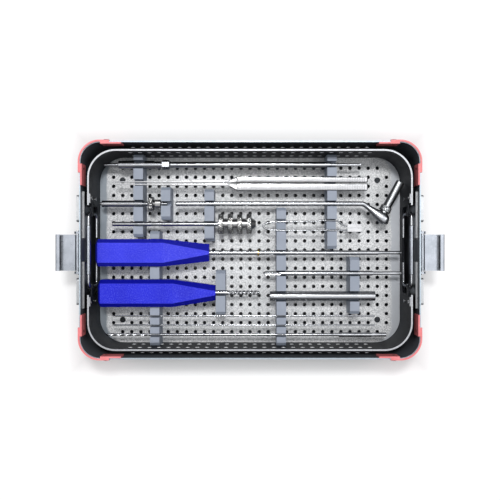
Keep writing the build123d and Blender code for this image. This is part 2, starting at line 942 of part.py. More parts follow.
def forceps_spans():
    tip = from_left(forceps_left_room)
    end = from_right(forceps_right_room)
    shoulder = end - forceps_grip_length - forceps_taper_length
    half = forceps_gap / 2
    tine = half + forceps_tine
    high = forceps_y + half + forceps_outer_grip
    low = forceps_y - half - forceps_inner_grip
    grip_half = (high - low) / 2
    return [
        Span(tip, shoulder, forceps_y, tine, forceps_tine_height / 2, False),
        Span(shoulder, end, (high + low) / 2, grip_half, forceps_grip_height / 2, False),
    ]


# Quick coupling with its sliding sleeve
def coupling_sections():
    sleeve = coupling_disc_length + coupling_waist_length + coupling_collar_length
    return [
        (coupling_nub_length, coupling_nub, coupling_nub),
        (coupling_rod_length, coupling_rod, coupling_rod),
        (coupling_travel_room + sleeve, coupling_neck, coupling_neck),
        (coupling_bead_neck_length, coupling_bead_neck, coupling_bead_neck),
        (coupling_bead_length, coupling_bead, coupling_bead),
        (coupling_bead_neck_length, coupling_bead_neck, coupling_bead_neck),
        (coupling_bead_length, coupling_bead, coupling_bead),
    ]


def coupling_shaft():
    return turned(from_left(coupling_left_room), coupling_y, coupling_sections())


def coupling_sleeve():
    start = from_left(coupling_left_room) + total(coupling_sections()[:2]) + coupling_travel_room
    sections = [
        (coupling_disc_length, coupling_disc, coupling_disc),
        (coupling_waist_length, coupling_waist, coupling_waist),
        (coupling_collar_length, coupling_collar, coupling_collar),
    ]
    sleeve = turned(start, coupling_y, sections)
    length = total(sections)
    bore = coupling_neck / 2 + pin_clearance
    return sleeve - rod_x(start - 1, start + length + 1, coupling_y, tool_z, bore)


# Drill guide with its slanting tube
def guide_start():
    return from_left(coupling_left_room) + total(coupling_sections()) + guide_from_coupling


def guide_bend():
    return from_right(guide_right_room)


def guide_tube_plane():
    angle = math.radians(guide_tube_angle)
    origin = (guide_bend() + guide_tube_offset_x, coupling_y + guide_tube_offset_y, tool_z)
    return Plane(origin=origin, z_dir=(math.cos(angle), math.sin(angle), 0))


def drill_guide_tube():
    tube = Pos(0, 0, guide_tube_length / 2) * Cylinder(guide_tube / 2, guide_tube_length)
    middle = guide_ring_from_end + guide_ring_length / 2
    tube += Pos(0, 0, middle) * Cylinder(guide_ring / 2, guide_ring_length)
    tube -= Pos(0, 0, guide_tube_length / 2) * Cylinder(guide_tube_bore / 2, guide_tube_length + 2)
    return guide_tube_plane() * tube


def drill_guide_arm():
    start = guide_start()
    bend = guide_bend()
    sections = [
        (end_bevel, guide_rod - 2 * end_bevel, guide_rod),
        (bend - start - end_bevel, guide_rod, guide_rod),
    ]
    rod = turned(start, coupling_y, sections)
    angle = math.radians(guide_arm_angle)
    tip_x = guide_arm_length * math.cos(angle)
    tip_y = guide_arm_length * math.sin(angle)
    circles = Sketch() + [Circle(guide_arm_root), Pos(tip_x, tip_y) * Circle(guide_arm_tip)]
    outline = make_hull(circles.edges())
    arm = extrude(outline, guide_arm_thickness / 2, both=True)
    arm = Pos(bend, coupling_y, tool_z) * arm
    middle = guide_ring_from_end + guide_ring_length / 2
    slack = 2 * fixed_clearance
    seat = Pos(0, 0, middle) * Cylinder((guide_ring + slack) / 2, guide_ring_length + slack)
    seat += Pos(0, 0, guide_tube_length / 2) * Cylinder(
        (guide_tube + slack) / 2, guide_tube_length + slack
    )
    return rod + arm - guide_tube_plane() * seat


# Tool with a ribbed barrel
def ribbed_handle_start():
    return from_left(ribbed_left_room) + ribbed_rod_length


def ribbed_sections():
    sections = []
    for index in range(ribbed_ribs):
        if index:
            sections.append((ribbed_groove_length, ribbed_groove, ribbed_groove))
        sections.append((end_bevel, ribbed_rib - 2 * end_bevel, ribbed_rib))
        sections.append((ribbed_rib_length - 2 * end_bevel, ribbed_rib, ribbed_rib))
        sections.append((end_bevel, ribbed_rib, ribbed_rib - 2 * end_bevel))
    sections.append((ribbed_nose_length, ribbed_nose, ribbed_nose_tip))
    return sections


def ribbed_handle():
    start = ribbed_handle_start()
    handle = turned(start, ribbed_y, ribbed_sections())
    bore = ribbed_rod / 2 + fixed_clearance
    return handle - rod_x(start - 1, start + ribbed_tang, ribbed_y, tool_z, bore)


def ribbed_shaft():
    sections = [
        (end_bevel, ribbed_rod - 2 * end_bevel, ribbed_rod),
        (ribbed_rod_length + ribbed_tang - end_bevel, ribbed_rod, ribbed_rod),
    ]
    return turned(from_left(ribbed_left_room), ribbed_y, sections)


# Wire screw clip
def clip_ends():
    left = ribbed_handle_start() + total(ribbed_sections()) + clip_from_ribbed
    return left, from_right(clip_right_room)


def screw_clip_wire():
    left, right = clip_ends()
    jaw = right - clip_jaw_length
    jaw_y = clip_jaw_gap / 2 + clip_jaw_width / 2
    upper_jaw = clip_jaw_offset + jaw_y
    lower_jaw = clip_jaw_offset - jaw_y
    half = clip_half_gap
    inset = clip_wire / 2
    path = FilletPolyline(
        (jaw, upper_jaw), (jaw - clip_lead_in, upper_jaw), (jaw - clip_bow_end / 2, half + clip_bow),
        (jaw - clip_bow_end, half + clip_bow), (jaw - clip_bow_start, half),
        (left + inset, half), (left + inset, -half), (jaw - clip_lower_lead_in, -half),
        (jaw - clip_lead_in, lower_jaw), (jaw, lower_jaw), radius=clip_bend
    )
    section = Plane(origin=path @ 0, z_dir=path % 0) * Circle(clip_wire / 2)
    return Pos(0, clip_y, tool_z) * sweep(section, path=path)


def screw_clip_jaws():
    left, right = clip_ends()
    jaws = []
    for sign in (-1, 1):
        near = clip_y + clip_jaw_offset + sign * clip_jaw_gap / 2
        far = near + sign * clip_jaw_width
        half = clip_jaw_height / 2
        jaw = block(right - clip_jaw_length, right, near, far, tool_z - half, tool_z + half)
        jaws.append(chamfer(jaw.edges().filter_by(Axis.Z).group_by(Axis.X)[-1], clip_jaw_bevel))
    return group(jaws)


def clip_spans():
    left, right = clip_ends()
    jaw = right - clip_jaw_length
    wire = clip_wire / 2
    span = clip_half_gap + clip_bow / 2
    middle = clip_y + clip_bow / 2
    edge = span + wire
    return [
        Span(left, jaw, middle, edge, wire, False),
        Span(
            jaw, right, clip_y + clip_jaw_offset, clip_jaw_width + clip_jaw_gap,
            clip_jaw_height / 2, False
        ),
    ]


# Drivers with faceted handles
def octagon(x, width, corner):
    half = width / 2
    flat = half - corner
    points = [
        (half, flat), (flat, half), (-flat, half), (-half, flat),
        (-half, -flat), (-flat, -half), (flat, -half), (half, -flat),
    ]
    return Plane.YZ.offset(x) * make_face(Polyline(*points, close=True))


def driver_handle_piece(start, y, length, taper, small, small_corner, shaft):
    shoulder = length - taper
    butt = driver_handle - 2 * driver_butt_bevel
    stations = [
        octagon(0, butt, driver_handle_chamfer),
        octagon(driver_butt_bevel, driver_handle, driver_handle_chamfer),
        octagon(shoulder, driver_handle, driver_handle_chamfer),
        octagon(length, small, small_corner),
    ]
    handle = Pos(start, y, tool_z) * loft(stations, ruled=True)
    bore = shaft / 2 + fixed_clearance
    end = start + length
    return handle - rod_x(end - driver_tang, end + 1, y, tool_z, bore)


def handle_span(start, y, length):
    half = driver_handle / 2
    return [Span(start, start + length, y, half, half, False)]


def driver_1_start():
    return from_left(driver_1_left_room)


def driver_1_sections():
    end = from_right(driver_1_right_room)
    start = driver_1_start() + driver_1_handle_length - driver_tang
    groove = driver_1_shaft - 2 * tool_groove_depth
    main = end - start - driver_1_tip_length - tool_groove_length
    sections = [
        (main, driver_1_shaft, driver_1_shaft),
        (tool_groove_length, groove, groove),
        (driver_1_tip_length - end_bevel, driver_1_tip, driver_1_tip),
        (end_bevel, driver_1_tip, driver_1_tip - 2 * end_bevel),
    ]
    return start, sections


def driver_1_handle():
    return driver_handle_piece(
        driver_1_start(), driver_1_y, driver_1_handle_length, driver_1_taper_length,
        driver_1_small_end, driver_1_small_chamfer, driver_1_shaft
    )


def driver_1_shaft_piece():
    start, sections = driver_1_sections()
    return turned(start, driver_1_y, sections)


def driver_1_ring_piece():
    start = driver_1_start() + driver_1_handle_length + driver_1_ring_from_handle
    end = start + driver_1_ring_length
    ring = rod_x(start, end, driver_1_y, tool_z, driver_1_ring / 2)
    bore = driver_1_shaft / 2 + fixed_clearance
    return ring - rod_x(start - 1, end + 1, driver_1_y, tool_z, bore)


def driver_2_start():
    return from_left(driver_2_left_room)


def driver_2_end():
    return driver_2_start() + driver_2_handle_length + driver_2_shaft_length


def driver_2_sections():
    start = driver_2_start() + driver_2_handle_length - driver_tang
    thick = driver_tang + driver_2_shaft_length - driver_2_tip_length
    sections = [
        (thick, driver_2_shaft, driver_2_shaft),
        (driver_2_tip_length - end_bevel, driver_2_tip, driver_2_tip),
        (end_bevel, driver_2_tip, driver_2_tip - 2 * end_bevel),
    ]
    return start, sections


def driver_2_handle():
    return driver_handle_piece(
        driver_2_start(), driver_2_y, driver_2_handle_length, driver_2_taper_length,
        driver_2_small_end, driver_2_small_chamfer, driver_2_shaft
    )


def driver_2_shaft_piece():
    start, sections = driver_2_sections()
    return turned(start, driver_2_y, sections)


# Tap, sleeve, pin wires and drill bit
def tap_sections():
    groove = tap_shaft - 2 * tool_groove_depth
    start = bar_6_x() - tap_beyond_bar_6
    length = from_right(tap_right_room) - start
    main = length - tap_cutter_length - tool_groove_length - tap_end_length
    sections = [
        (tap_nose_length, tap_nose, tap_cutter),
        (tap_cutter_length - tap_nose_length, tap_cutter, tap_cutter),
        (main, tap_shaft, tap_shaft),
        (tool_groove_length, groove, groove),
        (tap_end_length - end_bevel, tap_end, tap_end),
        (end_bevel, tap_end, tap_end - 2 * end_bevel),
    ]
    return start, sections


def tap():
    start, sections = tap_sections()
    return turned(start, tap_y, sections)


def sleeve_ends():
    return driver_2_end() + sleeve_from_driver, from_right(sleeve_right_room)


def tissue_sleeve():
    start, end = sleeve_ends()
    tube = rod_x(start, end, sleeve_y, tool_z, sleeve_diameter / 2)
    tube = chamfer(tube.edges(), tube_bevel)
    return tube - rod_x(start - 1, end + 1, sleeve_y, tool_z, sleeve_bore / 2)


def pin_wire_sections():
    start = from_left(pin_wire_left_room)
    length = from_right(pin_wire_right_room) - start
    return start, [
        (pin_wire_point, needle_point, pin_wire),
        (length - pin_wire_point, pin_wire, pin_wire),
    ]


def pin_wire_piece(y):
    start, sections = pin_wire_sections()
    return turned(start, y, sections)


def drill_sections():
    start = from_left(drill_left_room)
    length = from_right(drill_right_room) - start
    groove = drill_holder - 2 * tool_groove_depth
    shank = length - drill_point_length - drill_holder_length - tool_groove_length - drill_end_length
    sections = [
        (drill_point_length, needle_point, drill_diameter),
        (shank, drill_diameter, drill_diameter),
        (drill_holder_length, drill_holder, drill_holder),
        (tool_groove_length, groove, groove),
        (drill_end_length, drill_end, drill_end),
    ]
    return start, sections


def drill_bit():
    start, sections = drill_sections()
    return turned(start, drill_y, sections)


# Holder bars, notched for the tools that cross them
def tool_spans():
    spans = []
    depth_start, depth_sections = depth_sleeve_sections()
    probe_start = from_left(depth_left_room)
    probe_end = from_right(depth_right_room)
    probe_half = depth_probe / 2 + depth_hook_rise
    spans += spans_of(depth_start, depth_y, depth_sections)
    spans.append(Span(probe_start, depth_start, depth_y, depth_knob / 2, depth_knob / 2, True))
    spans.append(Span(probe_start, probe_end, depth_y, probe_half, probe_half, True))
    spans += forceps_spans()
    spans += spans_of(from_left(coupling_left_room), coupling_y, coupling_sections())
    guide_half = guide_rod / 2
    spans.append(Span(guide_start(), guide_bend(), coupling_y, guide_half, guide_half, True))
    rod_half = ribbed_rod / 2
    spans.append(
        Span(from_left(ribbed_left_room), ribbed_handle_start(), ribbed_y, rod_half, rod_half, True)
    )
    spans += spans_of(ribbed_handle_start(), ribbed_y, ribbed_sections())
    spans += clip_spans()
    spans += handle_span(driver_1_start(), driver_1_y, driver_1_handle_length)
    spans += spans_of(driver_1_sections()[0], driver_1_y, driver_1_sections()[1])
    spans += handle_span(driver_2_start(), driver_2_y, driver_2_handle_length)
    spans += spans_of(driver_2_sections()[0], driver_2_y, driver_2_sections()[1])
    spans += spans_of(tap_sections()[0], tap_y, tap_sections()[1])
    sleeve_start, sleeve_end = sleeve_ends()
    sleeve_half = sleeve_diameter / 2
    spans.append(Span(sleeve_start, sleeve_end, sleeve_y, sleeve_half, sleeve_half, True))
    for y in (pin_wire_1_y, pin_wire_2_y):
        spans += spans_of(pin_wire_sections()[0], y, pin_wire_sections()[1])
    spans += spans_of(drill_sections()[0], drill_y, drill_sections()[1])
    return spans


def notch(span, x0, x1):
    half = span.half_width + rest_gap
    low = tool_z - span.half_height - rest_gap
    if not span.is_round:
        return block(x0 - 1, x1 + 1, span.y - half, span.y + half, low, bar_top + 1)
    opening = block(x0 - 1, x1 + 1, span.y - half, span.y + half, tool_z, bar_top + 1)
    return opening + rod_x(x0 - 1, x1 + 1, span.y, tool_z, half)


def bar_pegs(column, y0, y1):
    clear = tray_half_y - tray_flange_width - bar_peg_head
    low_y = max(y0 + bar_peg_from_end, -clear)
    high_y = min(y1 - bar_peg_from_end, clear)
    rows = [row_y(row) for row in range(plate_rows) if low_y < row_y(row) < high_y]
    pegs = []
    for y in (rows[0], rows[-1]):
        low = plate_bottom - bar_peg_head_height
        pegs.append(rod_z(column, y, low, plate_top + 1, bar_peg_diameter / 2))
        pegs.append(rod_z(column, y, low, plate_bottom - bar_peg_gap, bar_peg_head / 2))
    return pegs


def holder_bar(column_index, offset, y0, y1):
    column = column_x(column_index)
    x = bar_x(column_index, offset)
    x0 = x - bar_width / 2
    x1 = x + bar_width / 2
    bevel = bar_end_chamfer
    outline = Polyline(
        (y0, plate_top), (y1, plate_top), (y1, bar_top - bevel), (y1 - bevel, bar_top),
        (y0 + bevel, bar_top), (y0, bar_top - bevel), close=True
    )
    bar = extrude(Plane.YZ.offset(x0) * make_face(outline), bar_width)
    for peg in bar_pegs(column, y0, y1):
        bar += peg
    for span in tool_spans():
        crosses_x = span.x0 < x1 + rest_gap and span.x1 > x0 - rest_gap
        crosses_y = span.y - span.half_width < y1 and span.y + span.half_width > y0
        if crosses_x and crosses_y:
            bar -= notch(span, x0, x1)
    return bar


def holder_bars():
    wall = tray_half_y - bar_wall_gap
    above_driver = driver_1_y + driver_handle / 2 + bar_handle_gap
    last = plate_columns - 1
    bars = [
        (bar_1_column, above_driver, wall),
        (bar_2_column, *bar_2_ends),
        (bar_3_column, *bar_3_ends),
        (bar_4_column, -wall, bar_4_end),
        (bar_5_column, pin_wire_1_y + bar_5_past_pin, bar_5_end),
        (bar_6_column(), -wall, bar_6_end),
        (last - bar_7_from_last, bar_7_start, wall),
        (last - bar_8_from_last, *bar_8_ends),
    ]
    return {
        f"holder_bar_{number}": holder_bar(column, offset, y0, y1)
        for number, ((column, y0, y1), offset) in enumerate(zip(bars, bar_offsets), 1)
    }


def all_parts():
    parts = {"case_shell": case_shell()}
    for sx, x_name in ((-1, "left"), (1, "right")):
        for sy, y_name in ((-1, "front"), (1, "back")):
            parts["corner_guard_" + y_name + "_" + x_name] = corner_guard(sx, sy)
    parts["guard_screws"] = guard_screws()
    parts["guide_strips"] = guide_strips()
    parts["end_wall_pads"] = end_wall_pads()
    parts["strip_rivets"] = strip_rivets()
    parts["bracket_rivets"] = bracket_rivets()
    for side, name in ((-1, "left"), (1, "right")):
        parts["latch_bracket_" + name] = latch_bracket(side)
        parts["latch_pin_" + name] = latch_pin_piece(side)
        parts["latch_plate_" + name] = latch_plate(side)
        parts["handle_eyes_" + name] = handle_eyes(side)
        parts["wire_handle_" + name] = wire_handle(side)
        parts["handle_grip_" + name] = handle_grip(side)
    parts["tray_body"] = tray_body()
    parts["tray_flange"] = tray_flange()
    parts["base_plate"] = base_plate()
    parts["plate_screws"] = plate_screws()
    parts["tray_feet"] = tray_feet()
    parts["eye_rivets"] = eye_rivets()
    parts.update(holder_bars())
    parts["depth_gauge_sleeve"] = depth_gauge_sleeve()
    parts["depth_gauge_probe"] = depth_gauge_probe()
    parts["depth_gauge_nut"] = depth_gauge_nut()
    parts["forceps_outer_leg"] = forceps_outer_leg()
    parts["forceps_inner_leg"] = forceps_inner_leg()
    parts["coupling_shaft"] = coupling_shaft()
    parts["coupling_sleeve"] = coupling_sleeve()
    parts["drill_guide_arm"] = drill_guide_arm()
    parts["drill_guide_tube"] = drill_guide_tube()
    parts["ribbed_handle"] = ribbed_handle()
    parts["ribbed_shaft"] = ribbed_shaft()
    parts["screw_clip_wire"] = screw_clip_wire()
    parts["screw_clip_jaws"] = screw_clip_jaws()
    parts["driver_1_handle"] = driver_1_handle()
    parts["driver_1_shaft"] = driver_1_shaft_piece()
    parts["driver_1_ring"] = driver_1_ring_piece()
    parts["driver_2_handle"] = driver_2_handle()
    parts["driver_2_shaft"] = driver_2_shaft_piece()
    parts["tap"] = tap()
    parts["tissue_sleeve"] = tissue_sleeve()
    parts["pin_wire_1"] = pin_wire_piece(pin_wire_1_y)
    parts["pin_wire_2"] = pin_wire_piece(pin_wire_2_y)
    parts["drill_bit"] = drill_bit()
    return parts


os.makedirs("parts", exist_ok=True)
for node, shape in all_parts().items():
    export_step(shape, "parts/" + node + ".step")
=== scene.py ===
import json
import math

import bmesh
import bpy
from mathutils import Matrix, Vector

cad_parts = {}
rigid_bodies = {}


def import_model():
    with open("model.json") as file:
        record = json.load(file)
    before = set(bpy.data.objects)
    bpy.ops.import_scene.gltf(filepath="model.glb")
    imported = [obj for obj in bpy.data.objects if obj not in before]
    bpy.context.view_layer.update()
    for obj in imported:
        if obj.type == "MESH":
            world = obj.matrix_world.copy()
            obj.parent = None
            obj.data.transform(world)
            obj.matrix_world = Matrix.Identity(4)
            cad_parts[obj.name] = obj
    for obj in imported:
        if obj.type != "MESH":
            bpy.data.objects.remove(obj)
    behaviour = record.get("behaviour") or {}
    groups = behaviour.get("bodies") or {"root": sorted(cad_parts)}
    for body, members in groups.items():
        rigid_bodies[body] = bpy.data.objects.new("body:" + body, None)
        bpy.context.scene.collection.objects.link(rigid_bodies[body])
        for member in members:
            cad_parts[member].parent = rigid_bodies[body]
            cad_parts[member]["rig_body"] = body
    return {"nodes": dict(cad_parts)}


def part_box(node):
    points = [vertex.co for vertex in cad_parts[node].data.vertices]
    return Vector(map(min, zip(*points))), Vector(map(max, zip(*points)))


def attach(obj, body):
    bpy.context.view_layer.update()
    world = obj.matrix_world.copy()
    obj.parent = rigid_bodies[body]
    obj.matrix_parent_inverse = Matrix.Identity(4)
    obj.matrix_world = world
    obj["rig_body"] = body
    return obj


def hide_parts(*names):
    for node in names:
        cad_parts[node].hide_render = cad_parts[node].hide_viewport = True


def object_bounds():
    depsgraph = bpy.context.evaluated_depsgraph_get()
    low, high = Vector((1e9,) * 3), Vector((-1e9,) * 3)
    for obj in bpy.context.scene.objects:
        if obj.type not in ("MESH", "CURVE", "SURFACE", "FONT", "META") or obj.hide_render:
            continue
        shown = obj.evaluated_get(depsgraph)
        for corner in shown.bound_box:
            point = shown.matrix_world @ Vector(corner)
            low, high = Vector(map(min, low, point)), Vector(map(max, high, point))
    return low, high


# Looks of the instrument tray: perforated case, lift-out tray and the tools in its holder bars.
# Everything is in metres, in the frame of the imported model, except the section tables of the
# turned pieces, which are in millimetres.

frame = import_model()
cad_low, cad_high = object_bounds()

MM = 0.001
case_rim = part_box("case_shell")[1].z
tray_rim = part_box("tray_body")[1].z
plate_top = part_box("base_plate")[1].z


# ---------------------------------------------------------------- material building blocks
class Paint:
    """A Principled material whose sockets are fed by small procedural node chains."""

    def __init__(self, name, roughness=0.5, metallic=0.0):
        self.material = bpy.data.materials.new(name)
        self.material.use_nodes = True
        self.tree = self.material.node_tree
        self.tree.nodes.clear()
        output = self.tree.nodes.new("ShaderNodeOutputMaterial")
        self.shader = self.tree.nodes.new("ShaderNodeBsdfPrincipled")
        self.tree.links.new(self.shader.outputs["BSDF"], output.inputs["Surface"])
        coords = self.tree.nodes.new("ShaderNodeTexCoord")
        self.place = coords.outputs["Object"]
        self.facing = coords.outputs["Normal"]
        self.shader.inputs["Roughness"].default_value = roughness
        self.shader.inputs["Metallic"].default_value = metallic

    def node(self, kind, feeds=None, **settings):
        made = self.tree.nodes.new(kind)
        for key, value in settings.items():
            setattr(made, key, value)
        for key, value in (feeds or {}).items():
            self.feed(made.inputs[key], value)
        return made

    def feed(self, socket, value):
        if isinstance(value, bpy.types.NodeSocket):
            self.tree.links.new(value, socket)
        elif isinstance(value, tuple) and len(value) == 3 and len(socket.default_value) == 4:
            socket.default_value = (*value, 1.0)
        else:
            socket.default_value = value

    def set(self, **sockets):
        """Feeds the shader's sockets; an underscore stands for a space in a socket's name."""
        for key, value in sockets.items():
            self.feed(self.shader.inputs[key.replace("_", " ")], value)

    def noise(self, scale, detail=3.0, stretch=(1, 1, 1)):
        place = self.node("ShaderNodeMapping", {"Vector": self.place, "Scale": stretch}).outputs[0]
        feeds = {"Vector": place, "Scale": scale, "Detail": detail}
        return self.node("ShaderNodeTexNoise", feeds).outputs["Fac"]

    def math(self, operation, a, b=0.0):
        return self.node("ShaderNodeMath", {0: a, 1: b}, operation=operation).outputs[0]

    def length(self, a, b):
        squares = self.math("ADD", self.math("MULTIPLY", a, a), self.math("MULTIPLY", b, b))
        return self.math("SQRT", squares)

    def axis(self, name, vector=None):
        """One coordinate of a vector, which is the place on the object if none is given."""
        source = self.place if vector is None else vector
        return self.node("ShaderNodeSeparateXYZ", {0: source}).outputs[name]

    def between(self, value, low, high, out_low=0.0, out_high=1.0):
        """out_low where value is low or less, out_high where it is high or more."""
        feeds = {0: value, 1: low, 2: high, 3: out_low, 4: out_high}
        return self.node("ShaderNodeMapRange", feeds, clamp=True).outputs[0]

    def mix(self, share, a, b):
        made = self.node("ShaderNodeMix", data_type="RGBA")
        self.feed(made.inputs[0], share)
        self.feed(made.inputs[6], a)
        self.feed(made.inputs[7], b)
        return made.outputs[2]

    def mottle(self, cloud, a, b):
        """A colour that drifts between a and b with the cloud."""
        return self.mix(self.between(cloud, 0.3, 0.7), a, b)

    def fleck(self, base, pattern, low, high, share, colour):
        """Up to a share of colour over the base, where the pattern rises from low to high."""
        return self.mix(self.between(pattern, low, high, 0.0, share), base, colour)

    def bump(self, height, strength, distance, normal=None):
        feeds = {"Height": height, "Strength": strength, "Distance": distance}
        if normal is not None:
            feeds["Normal"] = normal
        return self.node("ShaderNodeBump", feeds).outputs["Normal"]


def scaled(factor, colour):
    return tuple(factor * c for c in colour)


# ---------------------------------------------------------------- materials
VENT_PITCH = 9 * MM
VENTS_IN_HALF_ROW = 13
VENT_RING = 2.0 * MM            # radius of the pale ring round a vent
LONG_WALLS = 88 * MM            # only the long walls lie further out than this in Y
PALE_EDGE = (0.85, 0.86, 0.88)


def vent_edge(paint, heights):
    """1 on the pale rings round the vents, which stand in rows along X in the long walls."""
    turns = paint.math("DIVIDE", paint.axis("X"), VENT_PITCH)
    off = paint.math("SUBTRACT", turns, 0.5)
    nearest = paint.math("ROUND", off)
    along = paint.math("MULTIPLY", paint.math("SUBTRACT", off, nearest), VENT_PITCH)
    found = None
    for height in heights:
        up = paint.math("SUBTRACT", paint.axis("Z"), height)
        away = paint.length(along, up)
        ring = paint.between(away, VENT_RING, VENT_RING + 0.15 * MM, 1.0, 0.0)
        found = ring if found is None else paint.math("MAXIMUM", found, ring)
    far = paint.between(paint.math("ABSOLUTE", paint.axis("Y")), LONG_WALLS, LONG_WALLS + 1 * MM)
    row_end = VENTS_IN_HALF_ROW * VENT_PITCH
    across = paint.math("ABSOLUTE", paint.axis("X"))
    row = paint.between(across, row_end, row_end + 0.05 * VENT_PITCH, 1.0, 0.0)
    return paint.math("MULTIPLY", paint.math("MULTIPLY", found, far), row)


def anodised(name, rim, vent_heights, bare, tone):
    """Dark anodised sheet, worn to bare metal on its top edge, with pale rings round its vents."""
    paint = Paint(name)
    cloud = paint.noise(38.0, 4.0)
    grain = paint.noise(2600.0, 2.0)
    rubbed = paint.noise(420.0, 5.0, (0.15, 0.15, 2.5))
    dark = paint.mottle(cloud, scaled(0.9, tone), scaled(1.1, tone))
    dark = paint.fleck(dark, rubbed, 0.62, 0.8, 0.4, scaled(1.7, tone))
    top = paint.between(paint.axis("Z"), rim - 0.30 * MM, rim - 0.12 * MM)
    if vent_heights:
        dark = paint.mix(vent_edge(paint, vent_heights), dark, PALE_EDGE)
    worn = paint.between(paint.noise(900.0, 3.0), 0.35, 0.6, 0.75, 1.0)
    paint.set(
        Base_Color=paint.mix(paint.math("MULTIPLY", top, worn), dark, bare),
        Metallic=top,
        Roughness=paint.between(grain, 0.2, 0.8, 0.42, 0.56),
        Normal=paint.bump(grain, 0.12, 0.05 * MM),
    )
    paint.shader.inputs["Specular IOR Level"].default_value = 0.07
    return paint.material


def blasted_plate():
    """The base plate: bead-blasted inside a rounded rectangle, with a smooth darker margin that is
    painted darker still at the left end, as painted shade.
    """
    centre_x, half_long, half_wide, corner = -0.8 * MM, 140.5 * MM, 91.5 * MM, 17 * MM
    paint = Paint("blasted plate", metallic=0.35)
    across = paint.math("ABSOLUTE", paint.math("SUBTRACT", paint.axis("X"), centre_x))
    along = paint.math("ABSOLUTE", paint.axis("Y"))
    wobble = paint.math("MULTIPLY", paint.math("SUBTRACT", paint.noise(60.0, 2.0), 0.5), 4 * MM)
    dx = paint.math("MAXIMUM", paint.math("SUBTRACT", across, half_long - corner), 0.0)
    dy = paint.math("MAXIMUM", paint.math("SUBTRACT", along, half_wide - corner), 0.0)
    away = paint.math("ADD", paint.length(dx, dy), wobble)
    margin = paint.between(away, corner - 0.8 * MM, corner + 1.2 * MM)
    speck = paint.noise(1050.0, 2.0)
    fine = paint.noise(5200.0, 2.0)
    cloud = paint.noise(55.0, 3.0)
    light = paint.mix(paint.between(speck, 0.35, 0.65), (0.38, 0.39, 0.40), (0.84, 0.84, 0.84))
    light = paint.fleck(light, cloud, 0.35, 0.7, 0.35, (0.50, 0.52, 0.53))
    # the margin is smooth metal, darker than the blasted part; its left end is painted darker still,
    # as painted shade
    left_margin_painted_shade = paint.mottle(cloud, (0.20, 0.23, 0.26), (0.26, 0.29, 0.32))
    right_end = paint.between(paint.axis("X"), 0.0, 10 * MM)
    margin_smooth_and_shaded = paint.mix(right_end, left_margin_painted_shade, (0.46, 0.48, 0.51))
    paint.set(
        Base_Color=paint.mix(margin, light, margin_smooth_and_shaded),
        Roughness=paint.between(margin, 0.0, 1.0, 0.58, 0.40),
        Normal=paint.bump(speck, 0.55, 0.12 * MM, paint.bump(fine, 0.4, 0.04 * MM)),
    )
    return paint.material


def silicone():
    """The holder bars, a little paler on top."""
    bar_height = 25 * MM
    paint = Paint("bar silicone", roughness=0.55)
    cloud = paint.noise(70.0, 3.0)
    grain = paint.noise(1700.0, 3.0)
    base = paint.mottle(cloud, (0.235, 0.270, 0.330), (0.285, 0.320, 0.385))
    bar_top = plate_top + bar_height
    base = paint.fleck(base, paint.axis("Z"), bar_top - 1.5 * MM, bar_top, 0.25, (0.42, 0.45, 0.52))
    paint.set(
        Base_Color=base,
        Roughness=paint.between(grain, 0.3, 0.7, 0.48, 0.62),
        Normal=paint.bump(grain, 0.18, 0.06 * MM),
    )
    paint.shader.inputs["Specular IOR Level"].default_value = 0.35
    return paint.material


def guard_plastic():
    """The salmon corner guards, with paler scuffs."""
    paint = Paint("guard plastic", roughness=0.42)
    cloud = paint.noise(90.0, 3.0)
    grain = paint.noise(2400.0, 2.0)
    scuff = paint.noise(260.0, 5.0)
    base = paint.mottle(cloud, (0.80, 0.19, 0.20), (0.88, 0.26, 0.27))
    base = paint.fleck(base, scuff, 0.62, 0.75, 0.4, (0.95, 0.52, 0.52))
    paint.set(
        Base_Color=base,
        Roughness=paint.between(grain, 0.3, 0.7, 0.36, 0.5),
        Normal=paint.bump(grain, 0.15, 0.04 * MM),
    )
    return paint.material


def handle_blue(name, low, high):
    """Moulded plastic with paler grain and scratch flecks, and painted shade: faces that don't point
    up are painted a darker blue.
    """
    paint = Paint(name, roughness=0.3)
    cloud = paint.noise(45.0, 3.0)
    grain = paint.noise(1000.0, 2.0)
    scratch = paint.noise(300.0, 4.0, (0.2, 3.0, 3.0))
    base = paint.mottle(cloud, low, high)
    base = paint.fleck(base, grain, 0.50, 0.72, 0.35, (0.14, 0.16, 0.92))
    base = paint.fleck(base, scratch, 0.64, 0.8, 0.25, (0.16, 0.17, 0.85))
    # painted shade: faces that don't point up, the sides and underside, get a darker blue by the
    # direction they face
    painted_flank_shade = paint.between(paint.axis("Z", paint.facing), 0.80, 0.95, 1.0, 0.0)
    paint.set(
        Base_Color=paint.mix(painted_flank_shade, base, scaled(0.52, low)),
        Roughness=paint.between(grain, 0.3, 0.7, 0.26, 0.38),
        Normal=paint.bump(grain, 0.35, 0.10 * MM),
    )
    paint.shader.inputs["Specular IOR Level"].default_value = 0.22
    paint.shader.inputs["Coat Weight"].default_value = 0.06
    paint.shader.inputs["Coat Roughness"].default_value = 0.18
    return paint.material


def metal(name, dark, light, rough, line_scale, lines, bump=0.12):
    """Bright metal with fine tool marks: lines is how the marks stretch along X, Y and Z."""
    paint = Paint(name, metallic=1.0)
    marks = paint.noise(line_scale, 3.0, lines)
    cloud = paint.noise(120.0, 3.0)
    smear = paint.noise(700.0, 4.0)
    base = paint.mottle(cloud, dark, light)
    base = paint.fleck(base, marks, 0.35, 0.65, 0.22, scaled(0.72, dark))
    paint.shader.inputs["Specular Tint"].default_value = (0.30, 0.31, 0.33, 1.0)
    paint.set(
        Base_Color=base,
        Roughness=paint.between(smear, 0.3, 0.75, rough[0], rough[1]),
        Normal=paint.bump(marks, bump, 0.03 * MM),
    )
    return paint.material


